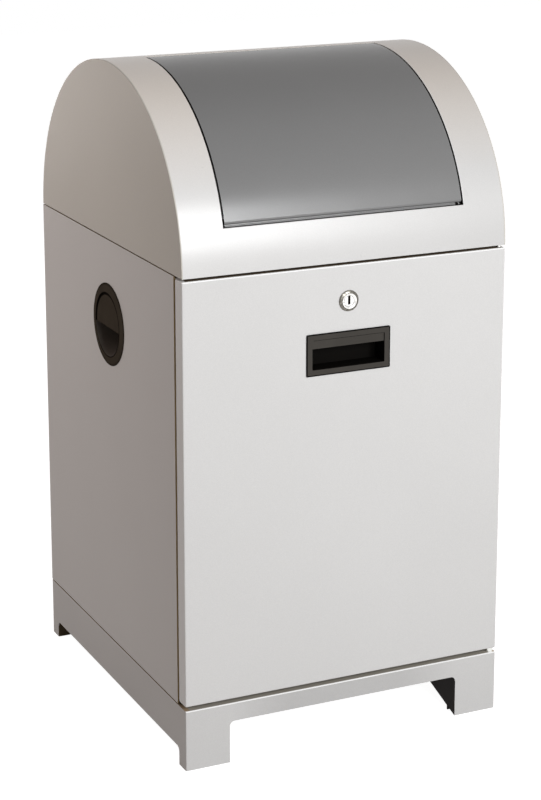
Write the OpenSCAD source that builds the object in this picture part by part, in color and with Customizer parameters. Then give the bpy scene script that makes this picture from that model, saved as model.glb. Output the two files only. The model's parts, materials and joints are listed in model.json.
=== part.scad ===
// Free-standing recycling bin in folded sheet steel, in millimetres.
// The door faces -Y, X runs to the right, Z runs up and the feet stand on z = 0.

/* [Body] */
// Width of the body and the door
body_w = 400; // [380:1:460]
// Depth of the body, from the door's face to the back
body_d = 444; // [430:1:500]
// Thickness of the folded sheet
sheet = 1.5; // [1:0.1:2]
// Width of the flanges folded inward at the edges of the body
flange = 20; // [16:1:24]
// Thickness of the frame plate under the hood
frame_t = 2; // [1.5:0.1:3]
// Width of the frame under the hood along the sides
frame_side = 33; // [30:1:45]
// Width of the frame under the hood along the front
frame_front = 40; // [36:1:60]
// Width of the frame under the hood along the back
frame_back = 26; // [22:1:45]
// Depth of the folded edges of the front rail and sill
rail_fold = 12; // [8:1:16]

/* [Plinth] */
// Height of the plinth
plinth_h = 72; // [65:1:100]
// Gap between the plinth and the side panels
plinth_seam = 1.5; // [1:0.5:4]
// Width of each foot on the front and the back
foot_w = 54; // [45:1:80]
// Height of the cut-outs in the front and the back
front_arch_h = 50; // [35:1:55]
// Width of each foot on the sides
side_foot_w = 20; // [18:1:50]
// Height of the cut-outs in the sides
side_arch_h = 21; // [16:1:40]
// Corner radius of the cut-outs
arch_r = 6; // [4:1:14]
// Depth of the gussets behind the feet
gusset_d = 66; // [40:1:80]
// Width of the plinth's top flange
plinth_flange = 30; // [26:1:34]
// Diameter of the screws between the plinth and the floor panel
base_screw_d = 6; // [5:0.5:7]
// Distance of those screws from the flange's inner edge
base_screw_edge = 9; // [8:0.5:12]
// Distance of those screws from the front and back edges of the floor panel
base_screw_end = 40; // [30:1:80]

/* [Door] */
// Height of the door
door_h = 489; // [450:1:560]
// Depth of the door pan
door_t = 18; // [16:1:20]
// Width of the returns round the back of the door
door_return = 12; // [11:0.5:16]
// Gap under the door
door_gap = 5; // [4:0.5:8]
// Groove between the door and the body
groove = 5; // [4:0.5:6]
// Distance of the hinge axis from the door's side and face
hinge_in = 5.5; // [5:0.1:6.5]
// Diameter of the hinge pins
pin_d = 5; // [4:0.1:5.5]
// Running clearance round pins and shafts, on the radius
run_fit = 0.05; // [0.03:0.01:0.1]
// Length of the hinge blocks inside the door
block_len = 20; // [15:1:40]
// Width of the stiffening channels in the door
rib_w = 30; // [20:1:40]
// Distance of the stiffening channels from the door's middle
rib_x = 115; // [95:1:125]
// Diameter of the door buffers
buffer_d = 10; // [8:0.5:10.5]
// Distance of the door buffers from the body's top and bottom edges
buffer_end = 30; // [25:1:60]

/* [Pull] */
// Width of the recessed pull
pull_w = 104; // [90:1:120]
// Height of the recessed pull
pull_h = 48; // [44:1:60]
// Width of the pull's bezel
pull_bezel = 7; // [5:0.5:9]
// Distance of the pull below the door's top edge
pull_drop = 75; // [65:1:100]
// Height of the lip that the fingers hook behind
pull_lip = 10; // [8:0.5:12]
// Depth of the pull's pocket behind the door's face
pull_depth = 22; // [16:1:24]
// How far the pull's bezel stands proud
bezel_proud = 1.5; // [1:0.1:2.5]
// Wall thickness of the moulded pull and grips
mould_wall = 2; // [1.5:0.1:3]

/* [Lock] */
// Distance of the lock's centre below the door's top edge
lock_drop = 41; // [38:1:44]
// Diameter of the lock's rosette
rosette_d = 24; // [22:0.5:28]
// How far the rosette stands proud of the door
rosette_proud = 3; // [2.5:0.5:5]
// Diameter of the lock's barrel
barrel_d = 18; // [16:0.5:19]
// Diameter of the rosette's front edge, from which it slopes to the door
rosette_face = 17.5; // [17:0.5:20]
// Diameter of the lock's plug
plug_d = 12; // [11:0.5:13]
// Diameter of the dish round the plug
dish_d = 16; // [14:0.5:16.5]
// Length of the cam from its axis
cam_len = 32; // [29:1:34]
// Thickness of the cam
cam_t = 2.5; // [2:0.1:3]

/* [Grips] */
// Diameter of the round side grips
grip_d = 98; // [90:1:110]
// Width of the grips' bezels
grip_bezel = 11.5; // [8:0.5:13]
// How far the bezels rise from their outer to their inner edge
grip_rise = 1.7; // [1:0.1:2.5]
// Depth of the grips' pockets
grip_depth = 24; // [18:1:26]
// Distance of the grips' centre behind the door's face
grip_y = 221; // [180:1:260]
// Distance of the grips' centre below the body's top edge
grip_drop = 99; // [80:1:160]
// Distance of the cover's straight edge below the grip's centre
grip_lip_drop = 3; // [0:0.5:8]

/* [Hood] */
// Gap between the door and the hood
hood_seam = 3; // [2:0.5:5]
// Gap between the side panels and the hood
side_seam = 1; // [0.8:0.1:1.5]
// Height of the arched hood
hood_h = 207; // [195:1:230]
// Width of the hood's margin on each side of its opening
mouth_margin = 52; // [48:1:60]
// Lower edge of the opening, in degrees up the arch from the front
mouth_from = 14; // [12:0.5:18]
// Upper edge of the opening, in degrees up the arch from the front
mouth_to = 92; // [88:0.5:95]
// Diameter of the hood's screws
screw_d = 4; // [3:0.1:5]
// Distance of the hood's screws from the inside of its end panels
screw_in = 12; // [10:0.5:14]
// Distance of the outer screws from the hood's front and back
screw_end = 60; // [50:1:90]
// Distance of the ends of the hood's angles from its front and back
angle_end = 40; // [36:1:46]

/* [Flap] */
// Gap all round the flap
flap_gap = 2; // [1.5:0.1:3]
// Radius of the rolled lower edge of the flap
hem_r = 3.5; // [2.5:0.1:4]
// Radius of the bead below the rolled edge
bead_r = 1; // [0.8:0.1:1.2]
// Groove between the bead and the rolled edge
bead_groove = 1.2; // [0.8:0.1:1.6]
// Length at the flap's right end over which the bead gives way to blocks
bead_notch = 7; // [6:0.5:10]
// Width of the flap's side rails under the hood's margin
rail_w = 9; // [7:0.5:10]
// Diameter of the flap's axle
axle_d = 6; // [5:0.1:7]
// Distance of the axle behind the opening's upper edge
axle_back = 10; // [9:0.5:14]
// Radius of the eyes that turn on the axle
eye_r = 8; // [7:0.5:9]
// Diameter of the spring wire
wire_d = 1.4; // [1:0.1:1.8]
// Number of turns of each flap spring
spring_turns = 8; // [5:1:12]

/* [Inner bin] */
// Room on each side of the inner bin
bin_side_room = 37.5; // [34:0.5:48]
// Room in front of and behind the inner bin's handles
bin_end_room = 22; // [18:0.5:34]
// Distance of the inner bin's rim below the body's top edge
bin_top_room = 83.5; // [80:0.5:120]
// Wall thickness of the inner bin
bin_wall = 1.8; // [1.2:0.1:3]
// Corner radius of the inner bin
bin_r = 22; // [12:1:30]
// Width of the inner bin's handles
handle_w = 110; // [90:1:130]
// How far the inner bin's handles reach out
handle_out = 20; // [16:1:22]
// Thickness of the inner bin's handles
handle_bar = 6; // [5:0.5:8]
// Height of the inner bin's handles
handle_h = 16; // [12:1:20]
// Distance of the handles' lower edge below the rim
handle_drop = 50; // [45:1:80]
// Width of the inner bin's rim
bin_rim_w = 4; // [3:0.5:6]
// Height of the inner bin's rim
bin_rim_h = 8; // [6:0.5:12]

/* [Hidden] */

$fn = 48;
// Small overlap used only inside a cut
cut = 1;
// Gap between a loose part and its seat
seat = 0.3;
// Clearance of a pressed or screwed shank in its hole, on the radius
tight_fit = 0.02;
// Shares of a screw's diameter that make its head
head_wide = 2;
head_high = 0.6;

// Levels
door_z = plinth_h + door_gap;
body_top = door_z + door_h;
hood_z = body_top + hood_seam;
side_top = hood_z - side_seam;
side_z = plinth_h + plinth_seam;

// The origin is the middle of the whole object, whose front is the lock's rosette
y_front = -(body_d - rosette_proud) / 2;
y_back = y_front + body_d;
y_body = y_front + door_t + groove;
x_side = body_w / 2;

// Recess of the dark spacers in the seams above and below the body
seam_in = 6;
// Inner edge of the frame under the hood
frame_in_x = x_side - frame_side;

// Hood arch, half an ellipse seen from the side
arch_a = body_d / 2;
arch_y = y_front + arch_a;
arch_step = 3;
function arch_n(t) = let (n = [-cos(t) / arch_a, sin(t) / hood_h]) n / norm(n);
function arch_p(t, in) = [arch_y - arch_a * cos(t), hood_z + hood_h * sin(t)] - in * arch_n(t);
function arch_line(t0, t1, n, in) = [for (i = [0:n]) arch_p(t0 + (t1 - t0) * i / n, in)];
function reversed(list) = [for (i = [len(list) - 1:-1:0]) list[i]];
// Degrees of arch for a length measured along it
function arch_deg(length) = length / arch_a * 180 / PI;

// Flap, set in by its own depth below the hood's outer face
mouth_w = body_w - 2 * mouth_margin;
flap_in = 0.3;
bead_t = mouth_from + arch_deg(flap_gap / 2 + bead_r);
flap_t1 = mouth_to - arch_deg(flap_gap);
flap_x = mouth_w / 2 - flap_gap;
rail_gap = 1.8;
rail_in = sheet + rail_gap;
rail_top = flap_x + rail_w;
flap_n = 30;
hem_t = bead_t + arch_deg(bead_r + bead_groove + hem_r);
// The rails share the flap's facets and start past its rolled edge
flap_step = (flap_t1 - hem_t) / flap_n;
rail_skip = ceil(arch_deg(2 * hem_r) / flap_step);
bead_in = flap_in + hem_r;
hem_p = arch_p(hem_t, bead_in);
// Short stub of the bead between the blocks at the right end
stub_x0 = flap_x - 3.2;
stub_x1 = flap_x - 1.7;
// Length of the block at the left end
left_block = 1.2;
// Gap that keeps flat and round pieces off the curved sheet
curve_gap = 0.1;
rail_web = 6;
// Degrees of arch over which the rails' arms leave them
arm_deg = 6;
bracket_gap = 3;
bracket_x = rail_top + bracket_gap;
bracket_t = 2.5;
axle_out = 3;
axle_y = arch_y - arch_a * cos(mouth_to) + axle_back;
axle_t = acos((arch_y - axle_y) / arch_a);
eye_gap = 0.8;
axle_z = arch_p(axle_t, sheet)[1] - eye_r - eye_gap;
eye_t = 2.5;
// Springs that turn on the axle with the flap
coil_gap = 0.5;
coil_r = axle_d / 2 + wire_d / 2 + coil_gap;
coil_pitch = wire_d + seat;

// Pads between the hood's margin and the flap's rails
pad_l = 10;
pad_edge = 1;
pad_t = 70;

// Lock and cam
lock_z = body_top - lock_drop;
barrel_out = 1.5;
barrel_end = door_t + groove + barrel_out;
cam_y = barrel_end + seat;
cam_w = 14;
cam_hole_d = 8;
cam_screw_d = 4;
cam_screw_in = 6;
cam_head_t = 2.5;
keyway_w = 2;
keyway_h = 8;
keyway_deep = 4.5;
dish_deep = 1.5;
rosette_edge = 1;
pull_slot = 0.8;
grip_edge = 0.5;
nut_over = 4.5;
nut_t = 4;

// Strike rail that the cam turns up behind
rail_low = lock_z + cam_w;

// Pull and grips
pull_z = body_top - pull_drop - pull_h / 2;
pull_in_w = pull_w - 2 * pull_bezel;
pull_in_h = pull_h - 2 * pull_bezel;
pull_r = 1.5;
pull_in_r = 1;
grip_z = body_top - grip_drop;
grip_in_r = grip_d / 2 - grip_bezel;
grip_proud = grip_edge + grip_rise;
grip_cover_in = 0.8;

// Inner bin, which stands on the floor panel with room all round
bin_y = (y_body + y_back) / 2;
bin_z = door_z + sheet;
bin_w = body_w - 2 * (sheet + bin_side_room);
bin_d = y_back - y_body - 2 * (sheet + bin_end_room + handle_out);
bin_h = body_top - bin_top_room - bin_z;
handle_z = bin_z + bin_h - handle_drop;
// Thickness of the rim over the bin's wall
rim_t = 1;
// Plates that hold the handles on the bin's walls
lug_t = 2;
lug_w = 12;
lug_over = 8;

// Hinge pins
pin_head_t = 2;
pin_end_gap = 2;
washer_edge = 1;

// Screws
screw_x = x_side - sheet - screw_in;
screw_ys = [y_front + screw_end, arch_y, y_back - screw_end];
screw_out = 4;
base_screw_out = 10;
base_screw_x = x_side - plinth_flange + base_screw_edge;
base_screw_ys = [y_body + base_screw_end, y_back - base_screw_end];

module box(lo, hi) {
    translate(lo) cube(hi - lo);
}

// A side outline drawn as [y, z], from x0 to x1
module across(x0, x1) {
    translate([x0, 0, 0]) rotate([90, 0, 90]) linear_extrude(x1 - x0) children();
}

// A front outline drawn as [x, z], from y0 back to y1
module into(y0, y1) {
    translate([0, y1, 0]) rotate([90, 0, 0]) linear_extrude(y1 - y0) children();
}

module plate(w, h, r) {
    hull() for (x = [r - w / 2, w / 2 - r], y = [r - h / 2, h / 2 - r]) translate([x, y]) circle(r);
}

// A cut-out that is open below, with rounded upper corners
module arch_cut(w, h) {
    translate([-w / 2, -cut]) square([w, h + cut - arch_r]);
    translate([arch_r - w / 2, 0]) square([w - 2 * arch_r, h]);
    for (x = [arch_r - w / 2, w / 2 - arch_r]) translate([x, h - arch_r]) circle(arch_r);
}

// A curved band of the hood's arch between two depths
module arch_band(t0, t1, n, in0, in1) {
    polygon(concat(arch_line(t0, t1, n, in0), reversed(arch_line(t0, t1, n, in1))));
}

module arch_fill(in) {
    polygon(arch_line(0, 180, 180 / arch_step, in));
}

module plinth_frame() {
    color("gainsboro") {
        difference() {
            box([-x_side, y_front, 0], [x_side, y_back, plinth_h]);
            box([sheet - x_side, y_front + sheet, -cut], [x_side - sheet, y_back - sheet, plinth_h - sheet]);
            box([plinth_flange - x_side, y_front + plinth_flange, 0],
                [x_side - plinth_flange, y_back - plinth_flange, plinth_h + cut]);
            into(y_front - cut, y_back + cut) arch_cut(body_w - 2 * foot_w, front_arch_h);
            across(-x_side - cut, x_side + cut) translate([arch_y, 0])
                arch_cut(body_d - 2 * side_foot_w, side_arch_h);
            at_hinge() translate([0, 0, plinth_h - 3 * sheet])
                cylinder(d = pin_d + 2 * tight_fit, h = 4 * sheet);
            for (x = [-base_screw_x, base_screw_x], y = base_screw_ys)
                translate([x, y, plinth_h - 3 * sheet])
                    cylinder(d = base_screw_d + 2 * tight_fit, h = 4 * sheet);
        }
        for (s = [0, 1], b = [0, 1]) translate([0, arch_y, 0]) mirror([s, 0, 0]) mirror([0, b, 0])
            foot_gusset();
    }
}

// Two upright plates that close a foot's inside: a gusset behind its inner edge, whose lower
// edge rises to the side cut-outs, and a plate across it at the side cut-out
module foot_gusset() {
    x0 = x_side - foot_w;
    x1 = x_side - sheet / 2;
    x_step = x_side - plinth_flange + sheet;
    across_y = side_foot_w - arch_a;
    front = sheet / 2 - arch_a;
    back = gusset_d - arch_a;
    step = plinth_flange - sheet - arch_a;
    under = plinth_h - sheet;
    across(x0, x0 + sheet) polygon([[front, 0], [back, side_arch_h], [back, under], [step, under],
        [step, under + sheet / 2], [front, under + sheet / 2]]);
    into(across_y - sheet, across_y) polygon([[x0 + sheet / 2, 0], [x1, 0], [x1, under + sheet / 2],
        [x_step, under + sheet / 2], [x_step, under], [x0 + sheet / 2, under]]);
}

module floor_panel() {
    in_x = x_side - seam_in;
    color("gray") difference() {
        union() {
            box([sheet - x_side, y_body, door_z], [x_side - sheet, y_back - sheet, door_z + sheet]);
            difference() {
                box([-in_x, y_body + seam_in, plinth_h], [in_x, y_back - seam_in, door_z]);
                box([sheet - in_x, y_body + seam_in + sheet, plinth_h - cut],
                    [in_x - sheet, y_back - seam_in - sheet, door_z]);
            }
            for (s = [0, 1]) mirror([s, 0, 0])
                box([x_side - 2 * sheet, y_body + 2 * sheet, door_z],
                    [x_side - sheet, y_back - sheet, door_z + flange]);
            box([3 * sheet - x_side, y_back - 2 * sheet, door_z],
                [x_side - 3 * sheet, y_back - sheet, door_z + flange]);
        }
        for (x = [-base_screw_x, base_screw_x], y = base_screw_ys)
            translate([x, y, door_z - sheet]) cylinder(d = base_screw_d + 2 * tight_fit, h = 3 * sheet);
    }
}

// The right side panel; the left one is its mirror image
module side_panel() {
    difference() {
        union() {
            box([x_side - sheet, y_body, side_z], [x_side, y_back, side_top]);
            box([x_side - flange, y_body, door_z + sheet], [x_side - sheet, y_body + sheet, body_top]);
            box([x_side - flange, y_body, body_top - sheet], [x_side, y_back - sheet, body_top]);
        }
        at_grip() cylinder(r = grip_in_r + mould_wall + seat, h = 2 * flange, center = true);
        for (y = screw_ys) translate([screw_x, y, body_top - 2 * sheet])
            cylinder(d = screw_d + 2 * tight_fit, h = 3 * sheet);
    }
}

module side_panel_left() {
    color("darkgray") mirror([1, 0, 0]) side_panel();
}

module side_panel_right() {
    color("darkgray") side_panel();
}

module back_panel() {
    color("darkgray") {
        box([sheet - x_side, y_back - sheet, side_z], [x_side - sheet, y_back, side_top]);
        box([flange - x_side, y_back - flange, body_top - sheet],
            [x_side - flange, y_back - sheet, body_top]);
    }
}

module front_rail() {
    color("darkgray") {
        box([flange - x_side, y_body, rail_low], [x_side - flange, y_body + sheet, body_top]);
        box([flange - x_side, y_body, body_top - sheet],
            [x_side - flange, y_body + rail_fold, body_top]);
    }
}

module front_sill() {
    color("darkgray") {
        box([flange - x_side, y_body, door_z + sheet], [x_side - flange, y_body + sheet, door_z + flange]);
        box([flange - x_side, y_body, door_z + flange - sheet],
            [x_side - flange, y_body + rail_fold, door_z + flange]);
    }
}

module top_frame() {
    color("dimgray") difference() {
        union() {
            box([sheet + seat - x_side, y_front + sheet + seat, hood_z],
                [x_side - sheet - seat, y_back - sheet - seat, hood_z + frame_t]);
            box([seam_in - x_side, y_body + seam_in / 2, body_top],
                [x_side - seam_in, y_back - seam_in, hood_z]);
        }
        box([-frame_in_x, y_front + frame_front, body_top - cut],
            [frame_in_x, y_back - frame_back, hood_z + frame_t + cut]);
        at_hinge() translate([0, 0, body_top])
            cylinder(d = pin_d + 2 * tight_fit, h = 2 * hood_seam + frame_t);
        for (x = [-screw_x, screw_x], y = screw_ys) translate([x, y, body_top - cut])
            cylinder(d = screw_d + 2 * tight_fit, h = hood_seam + frame_t + 2 * cut);
    }
}

module base_screws() {
    color("silver") for (x = [-base_screw_x, base_screw_x], y = base_screw_ys) translate([x, y, 0]) {
        translate([0, 0, plinth_h - base_screw_out])
            cylinder(d = base_screw_d, h = door_gap + sheet + base_screw_out);
        translate([0, 0, door_z + sheet])
            cylinder(d = head_wide * base_screw_d, h = head_high * base_screw_d);
    }
}

module door_buffers() {
    color("black") for (z = [door_z + buffer_end, body_top - buffer_end])
        translate([door_return - buffer_d / 2 - x_side, y_body, z]) rotate([90, 0, 0])
            cylinder(d = buffer_d, h = groove - seat);
}

module at_hinge() {
    translate([x_side - hinge_in, y_front + hinge_in, 0]) children();
}

module hinge_pin_top() {
    color("silver") at_hinge() {
        translate([0, 0, body_top - block_len + pin_end_gap])
            cylinder(d = pin_d, h = hood_seam + frame_t + block_len - pin_end_gap);
        translate([0, 0, hood_z + frame_t]) cylinder(r = hinge_in - sheet - seat, h = pin_head_t);
    }
}

module hinge_pin_bottom() {
    color("silver") at_hinge() {
        translate([0, 0, plinth_h - sheet])
            cylinder(d = pin_d, h = sheet + door_gap + block_len - pin_end_gap);
        translate([0, 0, plinth_h - sheet - pin_head_t])
            cylinder(r = hinge_in - sheet - seat, h = pin_head_t);
    }
}

module hinge_washer() {
    color("silver") at_hinge() translate([0, 0, plinth_h]) difference() {
        cylinder(r = hinge_in - washer_edge, h = door_gap - run_fit);
        translate([0, 0, -cut]) cylinder(d = pin_d + 2 * run_fit, h = door_gap + 2 * cut);
    }
}

module at_grip() {
    translate([x_side, y_front + grip_y, grip_z]) rotate([0, 90, 0]) children();
}

// Round shell grip: bezel, pocket, and a cover plate over the upper half
module grip() {
    at_grip() {
        difference() {
            union() {
                cylinder(d = grip_d, h = grip_edge);
                translate([0, 0, grip_edge]) cylinder(r1 = grip_d / 2, r2 = grip_in_r + sheet, h = grip_rise);
            }
            translate([0, 0, -cut]) cylinder(r = grip_in_r, h = grip_proud + 2 * cut);
        }
        difference() {
            translate([0, 0, -grip_depth - mould_wall])
                cylinder(r = grip_in_r + mould_wall, h = grip_depth + mould_wall);
            translate([0, 0, -grip_depth]) cylinder(r = grip_in_r, h = grip_depth + cut);
        }
        intersection() {
            translate([0, 0, grip_proud - grip_cover_in - mould_wall])
                cylinder(r = grip_in_r + sheet / 2, h = mould_wall);
            translate([-grip_d, -grip_d, -grip_depth])
                cube([grip_d + grip_lip_drop, 2 * grip_d, 2 * grip_depth]);
        }
    }
}

module grip_left() {
    color("#3b3632") mirror([1, 0, 0]) grip();
}

module grip_right() {
    color("#3b3632") grip();
}

module hood_shell() {
    color("lightgray") difference() {
        across(sheet - x_side, x_side - sheet)
            arch_band(0, 180, 180 / arch_step, 0, sheet);
        across(-mouth_w / 2, mouth_w / 2) arch_band(mouth_from, mouth_to, flap_n, -5, 10);
    }
}

module hood_end_right() {
    color("darkgray") across(x_side - sheet, x_side) arch_fill(0);
}

module hood_end_left() {
    color("darkgray") across(-x_side, sheet - x_side) arch_fill(0);
}

// Angle that carries the right end of the hood on the frame
module hood_angle() {
    top = hood_z + frame_t;
    difference() {
        union() {
            box([x_side - sheet - flange, y_front + angle_end, top],
                [x_side - sheet, y_back - angle_end, top + sheet]);
            box([x_side - 2 * sheet, y_front + angle_end, top],
                [x_side - sheet, y_back - angle_end, top + flange]);
        }
        for (y = screw_ys) translate([screw_x, y, top - cut])
            cylinder(d = screw_d + 2 * tight_fit, h = sheet + 2 * cut);
    }
}

module hood_angle_left() {
    color("gray") mirror([1, 0, 0]) hood_angle();
}

module hood_angle_right() {
    color("gray") hood_angle();
}

module hood_screws() {
    top = hood_z + frame_t + sheet;
    color("silver") for (x = [-screw_x, screw_x], y = screw_ys) translate([x, y, 0]) {
        translate([0, 0, body_top - sheet - screw_out])
            cylinder(d = screw_d, h = top - body_top + sheet + screw_out);
        translate([0, 0, top]) cylinder(d = head_wide * screw_d, h = head_high * screw_d);
    }
}

module flap_bracket(x) {
    across(x, x + bracket_t) difference() {
        intersection() {
            arch_fill(sheet);
            translate([axle_y - 2 * eye_r, axle_z - eye_r]) square([4 * eye_r, 4 * eye_r]);
        }
        translate([axle_y, axle_z]) circle(d = axle_d + 2 * tight_fit);
    }
}

module flap_bracket_left() {
    color("gray") flap_bracket(-bracket_x - bracket_t);
}

module flap_bracket_right() {
    color("gray") flap_bracket(bracket_x);
}

module flap_axle() {
    reach = bracket_x + bracket_t + axle_out;
    color("silver") translate([-reach, axle_y, axle_z]) rotate([0, 90, 0])
        cylinder(d = axle_d, h = 2 * reach);
}

// Pads under the hood's margin that the flap's rails close against
module flap_buffers() {
    low_t = hem_t + rail_skip * flap_step + arch_deg(pad_l / 2);
    color("black") for (s = [0, 1], t = [low_t, pad_t]) mirror([s, 0, 0])
        translate([0, arch_p(t, 0)[0], arch_p(t, 0)[1]])
            rotate([-atan2(arch_n(t)[1], -arch_n(t)[0]), 0, 0])
                box([mouth_w / 2 + pad_edge, sheet + curve_gap, -pad_l / 2],
                    [rail_top, sheet + rail_gap - seat, pad_l / 2]);
}

module inner_bin() {
    color("#5a5d60") difference() {
        translate([0, bin_y, bin_z]) linear_extrude(bin_h - rim_t) plate(bin_w, bin_d, bin_r);
        translate([0, bin_y, bin_z + bin_wall]) linear_extrude(bin_h)
            plate(bin_w - 2 * bin_wall, bin_d - 2 * bin_wall, bin_r - bin_wall);
    }
}

module inner_bin_rim() {
    color("#4a4d50") translate([0, bin_y, bin_z + bin_h - bin_rim_h]) difference() {
        linear_extrude(bin_rim_h) plate(bin_w + 2 * bin_rim_w, bin_d + 2 * bin_rim_w, bin_r + bin_rim_w);
        translate([0, 0, -cut]) linear_extrude(bin_rim_h - rim_t + cut) plate(bin_w, bin_d, bin_r);
        linear_extrude(bin_rim_h + cut) plate(bin_w - 2 * bin_wall, bin_d - 2 * bin_wall, bin_r - bin_wall);
    }
}

// Fixed strap handle on the inner bin's front wall
module bin_handle() {
    y_wall = -bin_d / 2;
    translate([0, 0, handle_z]) {
        for (x = [-handle_w / 2, handle_w / 2 - handle_bar])
            box([x, y_wall - handle_out, 0], [x + handle_bar, y_wall, handle_h]);
        box([-handle_w / 2, y_wall - handle_out, 0],
            [handle_w / 2, y_wall - handle_out + handle_bar, handle_h]);
        for (s = [0, 1]) mirror([s, 0, 0]) box([handle_w / 2 - handle_bar, y_wall - lug_t, -lug_over],
            [handle_w / 2 + lug_w, y_wall, handle_h + lug_over]);
    }
}

module bin_handle_front() {
    color("#4a4d50") translate([0, bin_y, 0]) bin_handle();
}

module bin_handle_rear() {
    color("#4a4d50") translate([0, bin_y, 0]) mirror([0, 1, 0]) bin_handle();
}

module door_panel() {
    color("whitesmoke") difference() {
        box([-x_side, y_front, door_z], [x_side, y_front + door_t, body_top]);
        box([sheet - x_side, y_front + sheet, door_z + sheet],
            [x_side - sheet, y_front + door_t - sheet, body_top - sheet]);
        box([door_return - x_side, y_front + 2 * sheet, door_z + door_return],
            [x_side - door_return, y_front + door_t + cut, body_top - door_return]);
        into(y_front - cut, y_front + 2 * sheet) translate([0, pull_z])
            plate(pull_in_w + 2 * (mould_wall + seat), pull_in_h + 2 * (mould_wall + seat),
                pull_in_r + mould_wall + seat);
        into(y_front - cut, y_front + 2 * sheet) translate([0, lock_z])
            circle(d = barrel_d + 2 * tight_fit);
        at_hinge() translate([0, 0, door_z - cut])
            cylinder(d = pin_d + 2 * run_fit, h = door_h + 2 * cut);
    }
}

module door_rib(x) {
    z0 = door_z + sheet;
    z1 = body_top - sheet;
    y0 = y_front + sheet;
    y1 = y_front + door_t - 3 * sheet;
    color("lightgray") {
        box([x - rib_w / 2, y0, z0], [x + rib_w / 2, y0 + sheet, z1]);
        for (s = [x - rib_w / 2, x + rib_w / 2 - sheet]) box([s, y0, z0], [s + sheet, y1, z1]);
    }
}

module door_rib_left() {
    door_rib(-rib_x);
}

module door_rib_right() {
    door_rib(rib_x);
}

module hinge_block(z) {
    half = hinge_in - sheet;
    color("dimgray") at_hinge() difference() {
        box([-half, -half, z], [half, half, z + block_len]);
        translate([0, 0, z - cut]) cylinder(d = pin_d + 2 * run_fit, h = block_len + 2 * cut);
    }
}

module hinge_block_top() {
    hinge_block(body_top - sheet - block_len);
}

module hinge_block_bottom() {
    hinge_block(door_z + sheet);
}

// Recessed pull: bezel, pocket, and a lip across the top of its mouth
module door_pull() {
    color("#3b3632") translate([0, 0, pull_z]) difference() {
        union() {
            into(y_front - bezel_proud, y_front) plate(pull_w, pull_h, pull_r);
            into(y_front, y_front + pull_depth + mould_wall)
                plate(pull_in_w + 2 * mould_wall, pull_in_h + 2 * mould_wall, pull_in_r + mould_wall);
        }
        into(y_front - bezel_proud - cut, y_front) plate(pull_in_w, pull_in_h, pull_in_r);
        into(y_front + mould_wall, y_front + pull_depth) plate(pull_in_w, pull_in_h, pull_in_r);
        into(y_front - cut, y_front + mould_wall + cut) {
            translate([0, -pull_lip / 2]) plate(pull_in_w, pull_in_h - pull_lip, pull_in_r);
            translate([mould_wall - pull_in_w / 2, pull_in_h / 2 - pull_slot])
                square([pull_in_w - 2 * mould_wall, pull_slot]);
        }
    }
}

module at_lock(y) {
    translate([0, y_front + y, lock_z]) rotate([-90, 0, 0]) children();
}

module lock_rosette() {
    color("silver") at_lock(-rosette_proud) difference() {
        union() {
            cylinder(d1 = rosette_face, d2 = rosette_d, h = rosette_proud - rosette_edge);
            translate([0, 0, rosette_proud - rosette_edge]) cylinder(d = rosette_d, h = rosette_edge);
        }
        translate([0, 0, -cut]) cylinder(d = plug_d + 2 * run_fit, h = rosette_proud + 2 * cut);
        translate([0, 0, -dish_deep]) cylinder(d1 = 2 * dish_d - plug_d, d2 = plug_d, h = 2 * dish_deep);
    }
}

module lock_barrel() {
    color("silver") at_lock(0) difference() {
        cylinder(d = barrel_d, h = barrel_end);
        translate([0, 0, -cut]) cylinder(d = plug_d + 2 * run_fit, h = barrel_end + 2 * cut);
    }
}

module lock_nut() {
    color("silver") at_lock(sheet) difference() {
        cylinder(r = barrel_d / 2 + nut_over, h = nut_t, $fn = 6);
        translate([0, 0, -cut]) cylinder(d = barrel_d + 2 * tight_fit, h = nut_t + 2 * cut);
    }
}

module lock_plug() {
    face = dish_deep - rosette_proud;
    color("gainsboro") difference() {
        union() {
            at_lock(face) cylinder(d = plug_d, h = barrel_end - face);
            at_lock(barrel_end) cylinder(d = cam_hole_d, h = seat + cam_t);
        }
        into(y_front + face - cut, y_front + face + keyway_deep) translate([0, lock_z])
            square([keyway_w, keyway_h], center = true);
        at_lock(barrel_end - cam_screw_in - cut)
            cylinder(d = cam_screw_d + 2 * tight_fit, h = cam_screw_in + seat + cam_t + 2 * cut);
    }
}

// Cam that points left when the door is free and up behind the rail when it is locked
module lock_cam() {
    color("silver") translate([0, y_front, lock_z]) into(cam_y, cam_y + cam_t) difference() {
        union() {
            circle(d = cam_w);
            translate([cam_w / 4 - cam_len, -cam_w / 2]) square([cam_len - cam_w / 4, cam_w]);
            translate([-cam_len, -cam_w / 4]) square([cam_len, cam_w / 2]);
        }
        circle(d = cam_hole_d + 2 * tight_fit);
    }
}

module cam_screw() {
    color("silver") {
        at_lock(cam_y + cam_t) cylinder(d = cam_hole_d + cam_screw_d / 2, h = cam_head_t);
        at_lock(barrel_end - cam_screw_in)
            cylinder(d = cam_screw_d, h = cam_screw_in + seat + cam_t);
    }
}

// Bead below the rolled edge and the web that carries it
module bead_section() {
    translate(arch_p(bead_t, bead_in)) circle(bead_r);
    arch_band(bead_t, hem_t, 3, bead_in, bead_in + sheet);
}

module flap_panel() {
    color("gray") union() {
        across(-flap_x, flap_x) {
            arch_band(hem_t, flap_t1, flap_n, flap_in, flap_in + sheet);
            translate(hem_p) circle(hem_r);
        }
        across(left_block - flap_x, flap_x - bead_notch) bead_section();
        across(stub_x0, stub_x1) bead_section();
    }
}

// Blocks that fill the bead's line at the flap's ends
module flap_end_caps() {
    color("black") for (span = [[-flap_x, left_block - flap_x], [flap_x - bead_notch, stub_x0], [stub_x1, flap_x]])
        across(span[0], span[1]) difference() {
            bead_section();
            translate(hem_p) circle(hem_r + curve_gap);
        }
}

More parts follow.
